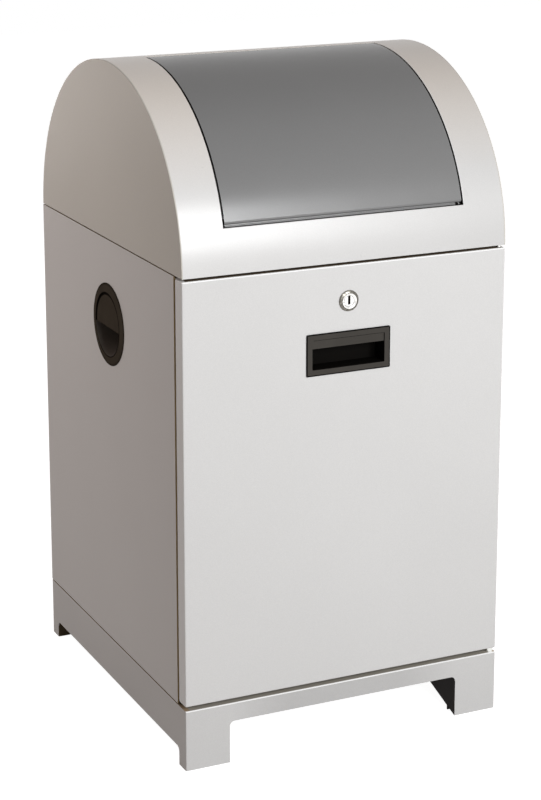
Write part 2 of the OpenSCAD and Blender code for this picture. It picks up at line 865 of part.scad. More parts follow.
// Rail under one side of the flap, with the eye that turns on the axle
module flap_rail(s) {
    eye = [axle_y, axle_z];
    in1 = rail_in + sheet;
    low_t = hem_t + rail_skip * flap_step;
    rail_n = flap_n - rail_skip;
    x0 = flap_x - rail_web;
    mirror([s, 0, 0]) difference() {
        union() {
            across(x0, flap_x) arch_band(low_t, flap_t1, rail_n, flap_in + sheet, in1);
            across(x0, rail_top) arch_band(low_t, flap_t1, rail_n, rail_in, in1);
            across(x0, x0 + eye_t) {
                translate(eye) circle(eye_r);
                polygon([arch_p(flap_t1 - arm_deg, rail_in), arch_p(flap_t1 - arm_deg / 30, rail_in),
                    eye + eye_r * [0.25, 0.75], eye + eye_r * [0, -0.96], eye + eye_r * [-1, -0.88]]);
            }
        }
        across(x0 - cut, x0 + eye_t + cut) translate(eye) circle(d = axle_d + 2 * run_fit);
    }
}

module flap_rail_left() {
    color("dimgray") flap_rail(1);
}

module flap_rail_right() {
    color("dimgray") flap_rail(0);
}

// Torsion spring round the axle; its long leg runs forward under the flap
module flap_spring(s) {
    ring_n = 8;
    sides = 6;
    // The legs leave the coil along its tangent at these angles
    first = 84;
    last = 90;
    front_leg = 34;
    rear_leg = 6;
    angle = 360 * spring_turns - (last - first);
    coil_n = ceil(angle / 360 * ring_n);
    coil_x = coil_pitch * angle / 360;
    x0 = flap_x - rail_web - 1 - coil_x - wire_d;
    coil = [for (i = [0:coil_n]) let (a = first - angle * i / coil_n)
        [coil_x * i / coil_n, coil_r * cos(a), coil_r * sin(a)]];
    path = concat([coil[0] - front_leg * [0, sin(first), -cos(first)]], coil,
        [coil[coil_n] + rear_leg * [0, sin(last), -cos(last)]]);
    angles = concat([first], [for (i = [0:coil_n]) first - angle * i / coil_n], [last]);
    rings = len(path) - 1;
    points = [for (i = [0:rings], j = [0:sides - 1]) let (turn = j * 360 / sides)
        path[i] + wire_d / 2 * [cos(turn), sin(turn) * cos(angles[i]), sin(turn) * sin(angles[i])]];
    faces = concat([[for (j = [0:sides - 1]) j]],
        [for (i = [0:rings - 1], j = [0:sides - 1], half = [0, 1])
            let (a = i * sides + j, b = i * sides + (j + 1) % sides)
                half == 0 ? [a, b + sides, b] : [a, a + sides, b + sides]],
        [[for (j = [sides - 1:-1:0]) rings * sides + j]]);
    mirror([s, 0, 0]) translate([x0, axle_y, axle_z]) polyhedron(points, faces);
}

module flap_spring_left() {
    color("silver") flap_spring(1);
}

module flap_spring_right() {
    color("silver") flap_spring(0);
}

plinth_frame();
floor_panel();
side_panel_left();
side_panel_right();
back_panel();
front_rail();
front_sill();
top_frame();
base_screws();
door_buffers();
hinge_pin_top();
hinge_pin_bottom();
hinge_washer();
grip_left();
grip_right();
hood_shell();
hood_end_left();
hood_end_right();
hood_angle_left();
hood_angle_right();
hood_screws();
flap_bracket_left();
flap_bracket_right();
flap_axle();
flap_buffers();
inner_bin();
inner_bin_rim();
bin_handle_front();
bin_handle_rear();
door_panel();
door_rib_left();
door_rib_right();
hinge_block_top();
hinge_block_bottom();
door_pull();
lock_rosette();
lock_barrel();
lock_nut();
lock_plug();
lock_cam();
cam_screw();
flap_panel();
flap_end_caps();
flap_rail_left();
flap_rail_right();
flap_spring_left();
flap_spring_right();
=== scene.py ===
"""Looks of the recycling bin: a steel body, an arched hood with a flap, a locking door and an inner bin."""

import json
import math

import bmesh
import bpy
from mathutils import Matrix, Vector


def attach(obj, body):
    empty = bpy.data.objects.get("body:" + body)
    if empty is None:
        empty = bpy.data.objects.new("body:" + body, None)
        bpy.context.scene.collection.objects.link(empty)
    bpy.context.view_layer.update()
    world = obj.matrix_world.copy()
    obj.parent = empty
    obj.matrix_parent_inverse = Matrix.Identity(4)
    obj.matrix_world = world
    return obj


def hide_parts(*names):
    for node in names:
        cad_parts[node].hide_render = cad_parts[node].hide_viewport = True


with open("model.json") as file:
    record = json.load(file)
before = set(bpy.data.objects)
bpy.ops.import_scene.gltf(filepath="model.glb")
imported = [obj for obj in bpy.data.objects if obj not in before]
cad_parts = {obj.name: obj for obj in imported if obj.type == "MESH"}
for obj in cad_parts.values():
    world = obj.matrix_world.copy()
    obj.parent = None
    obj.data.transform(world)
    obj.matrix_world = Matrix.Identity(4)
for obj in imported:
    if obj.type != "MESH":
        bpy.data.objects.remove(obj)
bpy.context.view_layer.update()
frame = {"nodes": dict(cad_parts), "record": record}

# sizes of the CAD, in metres and degrees
SHEET = 0.0015
X_SIDE = 0.200  # half width of the body
Y_FRONT, Y_BACK = -0.2205, 0.2235  # the door's face and the back
Y_BODY = -0.1975  # front flanges of the side panels
PLINTH_H, BODY_TOP = 0.072, 0.566
HOOD_Z, HOOD_H = 0.569, 0.207  # foot and height of the hood
ARCH_A, ARCH_Y = 0.222, 0.0015  # half depth and middle of the hood's arch
MOUTH_X, MOUTH_FROM, MOUTH_TO = 0.148, 14.0, 92.0  # the hood's opening: half width, and its ends on the arch
FLAP_X, FLAP_IN = 0.146, 0.0003  # the flap: half width, and depth below the hood's face
AXLE_Y, AXLE_Z = 0.01925, 0.76504
LOCK_Z, ROSETTE_OUT, ROSETTE_FACE = 0.525, 0.003, 0.00875  # height, how far it stands out, face radius
PLUG_R, DISH_DEEP = 0.006, 0.0015
KEY_X, KEY_Z = 0.0015, 0.0046  # the key slot's half width and half height
GRIP_Z = 0.467
PULL_Z, PULL_X, PULL_H = 0.467, 0.052, 0.024  # the pull's bezel: middle, half width and half height


def arch_normal(t):
    """Outward direction of the hood's arch, t degrees up from the front, as (y, z)."""
    c, s = math.cos(math.radians(t)), math.sin(math.radians(t))
    y, z = -c / ARCH_A, s / HOOD_H
    length = math.hypot(y, z)
    return y / length, z / length


def arch(t, inset=0.0):
    """Point (y, z) of the hood's arch, inset below its outer face."""
    ny, nz = arch_normal(t)
    c, s = math.cos(math.radians(t)), math.sin(math.radians(t))
    return ARCH_Y - ARCH_A * c - inset * ny, HOOD_Z + HOOD_H * s - inset * nz


def outer_depth(point):
    """Depth of a point below the hood's outer face, taken along the nearest spoke of the arch."""
    t = math.degrees(math.atan2((point.z - HOOD_Z) / HOOD_H, (ARCH_Y - point.y) / ARCH_A))
    y, z = arch(t)
    ny, nz = arch_normal(t)
    return (y - point.y) * ny + (z - point.z) * nz


# materials
MOTTLE, FLECK, GLOSS_SPREAD = 0.015, 0.04, 0.02  # how far a coat's tone, its flecks and its roughness vary
MOULDING_TONE, MOULDING_SPREAD = 0.1, 0.04  # the same for a moulding's tone and roughness
METAL_SPREAD = 0.15  # share by which a metal's roughness varies
RING_GAIN = 20.0  # spreads distances of millimetres over a ramp's whole length


def shader(name):
    """A new material and its node tree, with a Principled shader."""
    mat = bpy.data.materials.new(name)
    mat.use_nodes = True
    tree = mat.node_tree
    return mat, tree, tree.nodes["Principled BSDF"]


def add(tree, kind, **values):
    """A new node whose inputs are set by name."""
    node = tree.nodes.new(kind)
    for key, value in values.items():
        node.inputs[key].default_value = value
    return node


def operator(tree, kind, operation):
    """A new math or vector math node."""
    node = tree.nodes.new(kind)
    node.operation = operation
    return node


def object_point(tree):
    """The place on the object, in its own metres."""
    return tree.nodes.new("ShaderNodeTexCoord").outputs["Object"]


def object_axis(tree, axis):
    """One coordinate of the place on the object."""
    split = tree.nodes.new("ShaderNodeSeparateXYZ")
    tree.links.new(object_point(tree), split.inputs[0])
    return split.outputs[axis]


def object_noise(tree, scale, detail, roughness=0.5):
    """Noise on the object, with scale as grains per metre."""
    noise = add(tree, "ShaderNodeTexNoise", Scale=scale, Detail=detail, Roughness=roughness)
    tree.links.new(object_point(tree), noise.inputs["Vector"])
    return noise.outputs["Fac"]


def ramp(tree, source, stops):
    """A colour ramp on source; stops are (place, colour)."""
    node = tree.nodes.new("ShaderNodeValToRGB")
    elements = node.color_ramp.elements
    while len(elements) < len(stops):
        elements.new(0.5)
    for element, (place, colour) in zip(elements, stops):
        element.position = place
        element.color = (*colour, 1)
    tree.links.new(source, node.inputs["Fac"])
    return node.outputs["Color"]


def grey(value):
    return (value, value, value)


def scaled(colour, factor):
    return tuple(min(1.0, c * factor) for c in colour)


def multiplied(tree, colour, tone):
    """A colour multiplied by a tone."""
    node = tree.nodes.new("ShaderNodeMix")
    node.data_type = "RGBA"
    node.blend_type = "MULTIPLY"
    factor, a, b, result = node.inputs[0], node.inputs[6], node.inputs[7], node.outputs[2]
    factor.default_value = 1.0
    tree.links.new(colour, a)
    tree.links.new(tone, b)
    return result


def bumped(tree, bsdf, heights, strength, distance):
    """Bump on the shader from one or several heights, the coarsest first."""
    last = None
    for height, share in heights:
        bump = add(tree, "ShaderNodeBump", Strength=strength * share, Distance=distance)
        tree.links.new(height, bump.inputs["Height"])
        if last is not None:
            tree.links.new(last, bump.inputs["Normal"])
        last = bump.outputs["Normal"]
    tree.links.new(last, bsdf.inputs["Normal"])


def shaded_middle(tree, colour, dark, inner, outer):
    """Darkens a colour towards the middle of the object's width."""
    across = operator(tree, "ShaderNodeMath", "ABSOLUTE")
    tree.links.new(object_axis(tree, "X"), across.inputs[0])
    return multiplied(tree, colour, ramp(tree, across.outputs[0], [(inner, grey(dark)), (outer, grey(1.0))]))


def leaning(tree, colour, slope, offset):
    """Paints light and shade as a tone that runs evenly along the object: offset plus slope times the place.
    """
    run = operator(tree, "ShaderNodeVectorMath", "DOT_PRODUCT")
    run.inputs[1].default_value = slope
    tree.links.new(object_point(tree), run.inputs[0])
    tone = operator(tree, "ShaderNodeMath", "ADD")
    tone.inputs[1].default_value = offset
    tree.links.new(run.outputs["Value"], tone.inputs[0])
    return multiplied(tree, colour, tone.outputs[0])


def crown_ramp(tree, low, high, below, above):
    """Runs from one tint to another between two heights of the object."""
    return ramp(tree, object_axis(tree, "Z"), [(low, below), (high, above)])


def paint(name, colour, roughness=0.4, specular=0.5, peel=0.06,
          middle=None, lean=None, crown=None, gloss=None):
    """Satin powder coat with fine flecks, a soft mottle and orange peel. middle, lean and crown paint light
    and shade over the object as a darker middle, a running tone and a tint by height; gloss runs its
    specular level over a height."""
    mat, tree, bsdf = shader(name)
    mottle = ramp(tree, object_noise(tree, 7, 3),
                  [(0.25, scaled(colour, 1 - MOTTLE)), (0.75, scaled(colour, 1 + MOTTLE))])
    flecks = ramp(tree, object_noise(tree, 1300, 1),
                  [(0.30, grey(1 - FLECK)), (0.55, grey(1.0)), (0.75, grey(1 + FLECK))])
    coat = multiplied(tree, mottle, flecks)
    if middle is not None:
        coat = shaded_middle(tree, coat, *middle)
    if lean is not None:
        coat = leaning(tree, coat, *lean)
    if crown is not None:
        coat = multiplied(tree, coat, crown_ramp(tree, *crown))
    tree.links.new(coat, bsdf.inputs["Base Color"])
    rough = ramp(tree, object_noise(tree, 28, 3),
                 [(0.2, grey(roughness - GLOSS_SPREAD)), (0.8, grey(roughness + GLOSS_SPREAD))])
    tree.links.new(rough, bsdf.inputs["Roughness"])
    if gloss is None:
        bsdf.inputs["Specular IOR Level"].default_value = specular
    else:
        tree.links.new(crown_ramp(tree, *gloss), bsdf.inputs["Specular IOR Level"])
    bumped(tree, bsdf, [(object_noise(tree, 260, 1), 1.0), (object_noise(tree, 700, 1), 0.3)], peel, 0.0002)
    return mat


def metal(name, colour, roughness, grain=0.06, scale=900):
    """Bare or plated metal with a fine grain."""
    mat, tree, bsdf = shader(name)
    grain_noise = object_noise(tree, scale, 2, 0.6)
    tone = ramp(tree, grain_noise, [(0.3, scaled(colour, 1 - grain)), (0.7, scaled(colour, 1 + grain))])
    tree.links.new(tone, bsdf.inputs["Base Color"])
    rough = ramp(tree, object_noise(tree, 160, 2),
                 [(0.3, grey(roughness * (1 - METAL_SPREAD))), (0.7, grey(roughness * (1 + METAL_SPREAD)))])
    tree.links.new(rough, bsdf.inputs["Roughness"])
    bsdf.inputs["Metallic"].default_value = 1.0
    bumped(tree, bsdf, [(grain_noise, 1.0)], 0.05, 0.0001)
    return mat


def ringed(tree, colour, height, stops):
    """Paints shade on a colour by its distance from a line that runs across the object at a height."""
    place = operator(tree, "ShaderNodeVectorMath", "MULTIPLY_ADD")
    place.inputs[1].default_value = (0, RING_GAIN, RING_GAIN)
    place.inputs[2].default_value = (0, 0, -RING_GAIN * height)
    tree.links.new(object_point(tree), place.inputs[0])
    radius = operator(tree, "ShaderNodeVectorMath", "LENGTH")
    tree.links.new(place.outputs[0], radius.inputs[0])
    tone = ramp(tree, radius.outputs["Value"], [(RING_GAIN * at, grey(value)) for at, value in stops])
    return multiplied(tree, colour, tone)


def moulding(name, colour, roughness, texture=1500, bump=0.25, specular=0.5, rings=None):
    """Moulded plastic or rubber with a fine spark-eroded texture; rings paints shade by the distance from a
    line.
    """
    mat, tree, bsdf = shader(name)
    bsdf.inputs["Specular IOR Level"].default_value = specular
    tone = ramp(tree, object_noise(tree, 30, 3),
                [(0.3, scaled(colour, 1 - MOULDING_TONE)), (0.7, scaled(colour, 1 + MOULDING_TONE))])
    if rings is not None:
        tone = ringed(tree, tone, *rings)
    tree.links.new(tone, bsdf.inputs["Base Color"])
    rough = ramp(tree, object_noise(tree, 240, 2),
                 [(0.3, grey(roughness - MOULDING_SPREAD)), (0.7, grey(roughness + MOULDING_SPREAD))])
    tree.links.new(rough, bsdf.inputs["Roughness"])
    bumped(tree, bsdf, [(object_noise(tree, texture, 2), 1.0)], bump, 0.0001)
    return mat


BODY = (0.600, 0.594, 0.585)
# painted shade: a darker, warmer copy of BODY for the sides, which face away from the lamps
SHADED_SIDES = (0.568, 0.553, 0.541)
# painted shade on the grips by distance from their middle: a dark line round the pocket and along the
# bezel's outer edge
GRIP_SHADE_RINGS = [(0.0345, 1.0), (0.0356, 0.10), (0.0380, 0.10), (0.0390, 1.0), (0.0455, 1.0), (0.0485, 0.5)]
MATERIALS = {
    # side panels: the body coat with painted shade
    "body_paint": paint("shaded body coat", SHADED_SIDES, specular=0.15),
    # painted shade: the hood's ends get a darker, warmer copy of the coat
    "end_shade": paint("shaded coat on hood ends", (0.532, 0.510, 0.463), specular=0.15),
    # painted shade: the plinth's coat is a darker copy of BODY, darker still over the middle of its width
    "plinth_paint": paint("shaded plinth coat", scaled(BODY, 0.96), specular=0.2, middle=(0.84, 0.07, 0.145)),
    # painted shade: the plinth's sides, darker than the panels above
    "plinth_side": paint("shaded coat on plinth sides", scaled(SHADED_SIDES, 0.90), specular=0.15),
    # painted light: a brighter copy of BODY, lighter to the left, darker low on the arch and warm at the
    # crown
    "hood_paint": paint("lit hood coat", scaled(BODY, 1.10), 0.29, 0.42, peel=0.03, lean=((-0.33, 0, 0), 1.0),
                        crown=(0.655, 0.755, grey(0.909), (1.01, 0.942, 0.873))),
    "door_paint": paint("door coat", BODY),
    # painted highlight on folded and cut edges, and where light from the side reaches the door's top
    "painted_highlight": paint("painted highlight on folds", (0.82, 0.82, 0.81)),
    # painted highlight on the flap's side folds
    "flap_edge_highlight": paint("painted highlight on the flap's edges", (0.42, 0.42, 0.415), 0.3),
    # painted shade: dark brown for the parts that sit in the shade inside the body
    "inner_paint": paint("painted shade on inner parts", (0.10, 0.085, 0.065), 0.5, 0.2),
    # painted shade in recesses: the door's foot and the plinth's top under it
    "recess_shade": paint("painted shade in recesses", (0.34, 0.315, 0.270), 0.45, 0.2),
    # painted shade: dark brown on the door's top return in the seam under the hood
    "seam_shade": paint("painted shade in seams", (0.13, 0.095, 0.06), 0.55, 0.1),
    # painted shade, tinted warm, in the groove beside the door
    "groove_shade": paint("painted shade in the groove", (0.50, 0.385, 0.220), 0.55, 0.1),
    # painted shade in the side joints under the panels and the hood
    "joint_shade": paint("painted shade in the side joints", (0.30, 0.225, 0.145), 0.55, 0.1),
    "shade_coat": paint("coat under the plinth", (0.022, 0.018, 0.017), 0.6, 0.05),
    # painted shade on the plates across the rear feet, a little lighter for the light from the side
    "rear_foot_shade": paint("painted shade inside the rear feet", (0.15, 0.12, 0.075), 0.6, 0.05),
    # painted shade: the flap's tone darkens towards its top
    "flap_paint": paint("flap coat", (0.168, 0.168, 0.167), 0.25, peel=0.03, lean=((0, 0, -0.9), 1.68),
                        gloss=(0.715, 0.770, grey(0.36), grey(0.17))),
    "flap_rails": paint("rail coat", (0.035, 0.035, 0.035), 0.5, 0.2),
    "zinc_steel": metal("zinc plate", (0.72, 0.72, 0.70), 0.28),
    "spring_steel": metal("spring wire", (0.5, 0.5, 0.49), 0.3),
    "lock_chrome": metal("chrome", (0.80, 0.79, 0.77), 0.12, 0.03),
    # painted reflection: a dark base with strong grain stands in for the dark surroundings the ring reflects
    "lock_ring_reflection": metal("dark metal with painted reflections", (0.17, 0.16, 0.14), 0.26, 0.45, 420),
    # painted shade in the keyway, the plug's recess and the line round the rosette's face
    "lock_shade": moulding("keyway", (0.010, 0.006, 0.003), 0.6, 900, 0.3, 0.03),
    "black_moulding": moulding("black moulding", (0.038, 0.034, 0.029), 0.5, specular=0.15),
    # painted shade: near black in the pull's pocket and along its bezel; the flap's black end caps, darkened
    # for the shade in their gap
    "black_with_shade": moulding("near-black moulding with painted shade", (0.0035, 0.003, 0.0025), 0.6, 700, 0.5, 0.03),
    # grips: painted shade in rings round the pocket and along the bezel's edge
    "grip_moulding": moulding("grip moulding", (0.0655, 0.056, 0.044), 0.5, 1200, 0.3, 0.0,
                              (GRIP_Z, GRIP_SHADE_RINGS)),
    # painted light: the grips' pockets are lighter than the moulding round them, for the light inside the
    # cavity
    "grip_pocket_lit": moulding("grip pocket, painted light", (0.165, 0.148, 0.132), 0.5, 1200, 0.3, 0.02),
    "bin_plastic": moulding("bin plastic", (0.06, 0.063, 0.066), 0.4, 900, 0.15),
    "rubber": moulding("rubber", (0.010, 0.010, 0.010), 0.7, 1200, 0.3, 0.1),
}
SLOT_OF = {part["node"]: part["material_slot"] for part in frame["record"]["subparts"]}
BODY_OF = {node: body for body, nodes in frame["record"]["behaviour"]["bodies"].items() for node in nodes}


# mesh helpers
X, Y, Z = range(3)
SIGNS = (-1, 1)
NEAR = 1e-4  # coordinates closer than this are the same
AT = 0.0005  # a face whose middle is closer to a plane than this lies in it
MERGE, FLAT = 2e-6, 0.6  # distance of doubled points, and angle between triangles of one flat face
EDGE_ANGLE = 38  # edges sharper than this are softened
NORMAL_WEIGHT = 90
# widths of softened edges
FACE_EDGE, SHEET_EDGE, BIN_EDGE = 0.0003, 0.00025, 0.0005
MOULDED_EDGE, ROSETTE_EDGE, SMALL_EDGE, CAP_EDGE = 0.0004, 0.0003, 0.0002, 0.0001
HOOD_EDGE, END_EDGE = 0.0005, 0.0007
DOOR_FOLD, PLINTH_FOLD, FLAP_FOLD = 0.0015, 0.0012, 0.0008


def finish_mesh(bm, name, angle=32):
    """Turns bm into a mesh with smooth shading inside angle."""
    bmesh.ops.recalc_face_normals(bm, faces=bm.faces)
    mesh = bpy.data.meshes.new(name)
    bm.to_mesh(mesh)
    bm.free()
    mesh.polygons.foreach_set("use_smooth", [True] * len(mesh.polygons))
    mesh.set_sharp_from_angle(angle=math.radians(angle))
    return mesh


def piece(node, mesh, zones=(), coat=None):
    """A piece that stands for a CAD node and rides on its body. zones are (material, test of a face's
    centre and normal), and a later zone covers an earlier one."""
    body, slot = BODY_OF[node], SLOT_OF[node]
    obj = bpy.data.objects.new(node + "_look", mesh)
    bpy.context.scene.collection.objects.link(obj)
    mesh.materials.clear()
    mesh.materials.append(MATERIALS[coat or slot])
    for index, (material, inside) in enumerate(zones, 1):
        mesh.materials.append(MATERIALS[material])
        for polygon in mesh.polygons:
            if inside(polygon.center, polygon.normal):
                polygon.material_index = index
    modifier = obj.modifiers.new("weighted", "WEIGHTED_NORMAL")
    modifier.keep_sharp = True
    modifier.weight = NORMAL_WEIGHT
    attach(obj, body)
    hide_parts(node)


def solid_of(node):
    """A clean copy of a CAD node's mesh, with flat faces joined up."""
    bm = bmesh.new()
    bm.from_mesh(frame["nodes"][node].data)
    bmesh.ops.remove_doubles(bm, verts=bm.verts, dist=MERGE)
    bmesh.ops.dissolve_limit(bm, angle_limit=math.radians(FLAT), verts=bm.verts, edges=bm.edges)
    return bm


def bevel(bm, edges, width, segments):
    if edges:
        bmesh.ops.bevel(bm, geom=edges, offset=width, segments=segments, profile=0.5, affect="EDGES",
                        clamp_overlap=True, offset_type="OFFSET")


def sharp_edges(bm, where=None, angle=EDGE_ANGLE):
    """Edges between faces that meet at more than angle, filtered by where(edge)."""
    return [edge for edge in bm.edges
            if len(edge.link_faces) == 2 and edge.calc_face_angle(0.0) > math.radians(angle)
            and (where is None or where(edge))]


def softened(node, width, segments=2, folds=None, fold_width=0.0, zones=(), coat=None, cuts=()):
    """Replaces a CAD node by its own shape with softened edges. folds picks edges with a wider radius,
    and cuts are planes (point, normal) that split faces for the zones."""
    bm = solid_of(node)
    if folds is not None:
        bevel(bm, sharp_edges(bm, folds), fold_width, 4)
    bevel(bm, sharp_edges(bm), width, segments)
    for point, normal in cuts:
        bmesh.ops.bisect_plane(bm, geom=bm.verts[:] + bm.edges[:] + bm.faces[:],
                               plane_co=point, plane_no=normal)
    piece(node, finish_mesh(bm, node), zones, coat)


def cuts_at(x):
    """Planes across the object at x, on both sides of its middle."""
    return [((side * x, 0, 0), (1, 0, 0)) for side in SIGNS]


def along(edge, axis):
    """Whether an edge runs along an axis."""
    d = edge.verts[1].co - edge.verts[0].co
    return abs(d[axis]) > 0.98 * d.length


def both(edge, axis, value):
    """Whether both ends of an edge have that coordinate."""
    return all(abs(v.co[axis] - value) < NEAR for v in edge.verts)


def at_side(edge, x):
    """Whether both ends of an edge lie at x, left or right."""
    return all(abs(abs(v.co.x) - x) < NEAR for v in edge.verts)


# curved sheets
ROW_STEP = 1.5  # degrees


def band_rows(t0, t1):
    """Angles from t0 to t1 for the rows of an arched sheet."""
    count = max(2, round((t1 - t0) / ROW_STEP))
    return [t0 + (t1 - t0) * i / count for i in range(count + 1)]


def hood_shell():
    """Arched sheet with a square-cornered opening."""
    rows = band_rows(0, MOUTH_FROM) + band_rows(MOUTH_FROM, MOUTH_TO)[1:] + band_rows(MOUTH_TO, 180)[1:]
    edge = X_SIDE - SHEET
    right = [MOUTH_X / 2, MOUTH_X, (edge + MOUTH_X) / 2, edge]
    cols = [-x for x in reversed(right)] + [0.0] + right
    bm = bmesh.new()
    grid = [[[bm.verts.new((x, *arch(t, inset))) for x in cols] for t in rows] for inset in (0.0, SHEET)]

    def kept(i, j):
        """Whether that cell of the grid is sheet and not opening."""
        if i < 0 or j < 0 or i >= len(rows) - 1 or j >= len(cols) - 1:
            return False
        t, x = (rows[i] + rows[i + 1]) / 2, (cols[j] + cols[j + 1]) / 2
        return not (MOUTH_FROM < t < MOUTH_TO and abs(x) < MOUTH_X)

    for i in range(len(rows) - 1):
        for j in range(len(cols) - 1):
            if not kept(i, j):
                continue
            for layer in grid:
                bm.faces.new((layer[i][j], layer[i][j + 1], layer[i + 1][j + 1], layer[i + 1][j]))
            sides = (((i, j), (i, j + 1), kept(i - 1, j)), ((i, j + 1), (i + 1, j + 1), kept(i, j + 1)),
                     ((i + 1, j + 1), (i + 1, j), kept(i + 1, j)), ((i + 1, j), (i, j), kept(i, j - 1)))
            for (ai, aj), (bi, bj), inside in sides:
                if not inside:
                    bm.faces.new((grid[0][ai][aj], grid[0][bi][bj], grid[1][bi][bj], grid[1][ai][aj]))
    bmesh.ops.delete(bm, geom=[v for v in bm.verts if not v.link_faces], context="VERTS")
    bmesh.ops.recalc_face_normals(bm, faces=bm.faces)
    bevel(bm, sharp_edges(bm, lambda e: not at_side(e, edge), 60), HOOD_EDGE, 3)
    # painted highlights on the bevels round the opening, and painted shade in the gap at its left
    opening_highlights = ("painted_highlight", lambda c, n: 0.1 < abs(n.x) < 0.98)
    left_gap = ("shade_coat", lambda c, n: n.x > 0.25 and c.x < 0)
    piece("hood_shell", finish_mesh(bm, "hood_shell"), [opening_highlights, left_gap])


def hood_end(side, node):
    """End panel of the hood with a softened outer edge."""
    bm = bmesh.new()
    outline = [arch(t) for t in band_rows(0, 180)]
    outer, inner = side * X_SIDE, side * (X_SIDE - SHEET)
    front = [bm.verts.new((outer, *p)) for p in outline]
    back = [bm.verts.new((inner, *p)) for p in outline]
    bm.faces.new(front)
    bm.faces.new(back[::-1])
    count = len(outline)
    for i in range(count):
        j = (i + 1) % count
        bm.faces.new((front[i], front[j], back[j], back[i]))
    bmesh.ops.recalc_face_normals(bm, faces=bm.faces)
    bevel(bm, [e for e in bm.edges if both(e, X, outer)], END_EDGE, 3)
    piece(node, finish_mesh(bm, node), coat="end_shade")


hood_shell()
hood_end(-1, "hood_end_left")
hood_end(1, "hood_end_right")

# folded sheet parts
PLATE_X, PLATE_Y, PLATE_Z = 0.002, 0.0014, 0.0012  # the plinth's outer sheets reach in this far
PLINTH_RIM = 0.002  # the fold along the top of the plinth's front
REAR_FOOT = 0.030  # the plates across the rear feet are this close to the back
FOLD = 0.0016  # reach of the fold along a front sheet
DOOR_GAP = 0.006  # the door's foot hangs less than this above the plinth
LONG = 0.3  # shorter edges aren't outer folds of the door
FLAP_RIM = 0.001  # reach of the rounded edges along the flap's sides
FLAP_FACE = FLAP_IN + 0.0003  # points less deep than this lie in the flap's outer face
DOOR_CORNER = -0.195  # left of this the light from the side reaches the door's top
JOINT = 0.006  # outer strip of the plinth's top, which shows in the side joints
GROOVE = 0.0025  # outer strip of the side panels' front flanges, which shows in the groove beside the door


def inside_plinth(c, n):
    """Faces of the plinth behind its outer sheets."""
    return (abs(c.x) <= X_SIDE - PLATE_X and Y_FRONT + PLATE_Y <= c.y <= Y_BACK - PLATE_Y
            and c.z < PLINTH_H - PLATE_Z)


def rear_foot(c, n):
    """The plates across the rear feet, which catch a little light from the side."""
    return inside_plinth(c, n) and n.y < -0.9 and c.y > Y_BACK - REAR_FOOT


def plinth_side(c, n):
    return abs(n.x) > 0.9 and abs(c.x) > X_SIDE - AT


def plinth_top(c, n):
    return n.z > 0.9 and c.z > PLINTH_H - AT and c.y > Y_FRONT + PLINTH_RIM


def plinth_joint(c, n):
    """The outer strips of the plinth's top, in the joints under the side panels."""
    return plinth_top(c, n) and abs(c.x) > X_SIDE - JOINT


def door_top(c, n):
    """The door's upper return, which lies in the seam under the hood."""
    return n.z > 0.9 and c.z > BODY_TOP - AT and c.y > Y_FRONT + FOLD


def door_corner(c, n):
    """The left end of that return."""
    return door_top(c, n) and c.x < DOOR_CORNER


def door_foot(c, n):
    """The door's lower return, which lies in the gap above the plinth."""
    return n.z < -0.9 and c.z < PLINTH_H + DOOR_GAP and c.y > Y_FRONT + FOLD


def front_fold(top):
    """Test for the rounded fold along the top of a front sheet."""
    return lambda c, n: 0.15 < n.z < 0.995 and c.z > top - FOLD and c.y < Y_FRONT + FOLD


def panel_groove(c, n):
    """The outer strip of a side panel's front flange."""
    return n.y < -0.3 and c.y < Y_BODY + AT and abs(c.x) > X_SIDE - GROOVE


def panel_top(c, n):
    """The top edge of a side panel, in the joint under the hood."""
    return n.z > 0.3 and c.z > BODY_TOP - AT


def flap_fold(c, n):
    """The rounded edges along the flap's left and right."""
    return 0.1 < abs(n.x) < 0.7 and abs(c.x) > FLAP_X - FLAP_RIM


def flap_wall(c, n):
    """The flap's side walls, which lie in the gaps, with the steeper half of the left fold."""
    return (abs(n.x) > 0.7 or n.x < -0.35) and abs(c.x) > FLAP_X - FLAP_RIM


def door_fold_edge(edge):
    """The outer edges of the door's face, and the edges that run back from its corners."""
    outline = both(edge, Y, Y_FRONT) and (along(edge, X) or along(edge, Z)) and edge.calc_length() > LONG
    return outline or (along(edge, Y) and at_side(edge, X_SIDE))


def plinth_fold_edge(edge):
    """The plinth's upright corners and the top edge of its front."""
    corner = at_side(edge, X_SIDE) and (both(edge, Y, Y_FRONT) or both(edge, Y, Y_BACK)) and along(edge, Z)
    return corner or (both(edge, Y, Y_FRONT) and both(edge, Z, PLINTH_H))


def flap_fold_edge(edge):
    """The outer edges of the flap's sheet at its left and right."""
    return at_side(edge, FLAP_X) and all(outer_depth(v.co) < FLAP_FACE for v in edge.verts)


# the door: painted shade on its top return and foot, painted highlights on its top fold and the left end of
# its top return
softened("door_panel", FACE_EDGE, folds=door_fold_edge, fold_width=DOOR_FOLD,
         cuts=[((DOOR_CORNER, 0, 0), (1, 0, 0))],
         zones=[("seam_shade", door_top), ("painted_highlight", door_corner), ("recess_shade", door_foot),
                ("painted_highlight", front_fold(BODY_TOP))])
# the plinth: painted shade on its sides, inside and under it, on the rear feet, on its top and in the side
# joints, and a painted highlight along the top of its front
softened("plinth_frame", FACE_EDGE, folds=plinth_fold_edge, fold_width=PLINTH_FOLD,
         cuts=cuts_at(X_SIDE - JOINT),
         zones=[("plinth_side", plinth_side), ("shade_coat", inside_plinth), ("rear_foot_shade", rear_foot),
                ("recess_shade", plinth_top), ("joint_shade", plinth_joint),
                ("painted_highlight", front_fold(PLINTH_H))])
# the flap: painted highlights on its side folds and painted shade on its side walls in the gaps
softened("flap_panel", FACE_EDGE, folds=flap_fold_edge, fold_width=FLAP_FOLD,
         zones=[("flap_edge_highlight", flap_fold), ("shade_coat", flap_wall)])
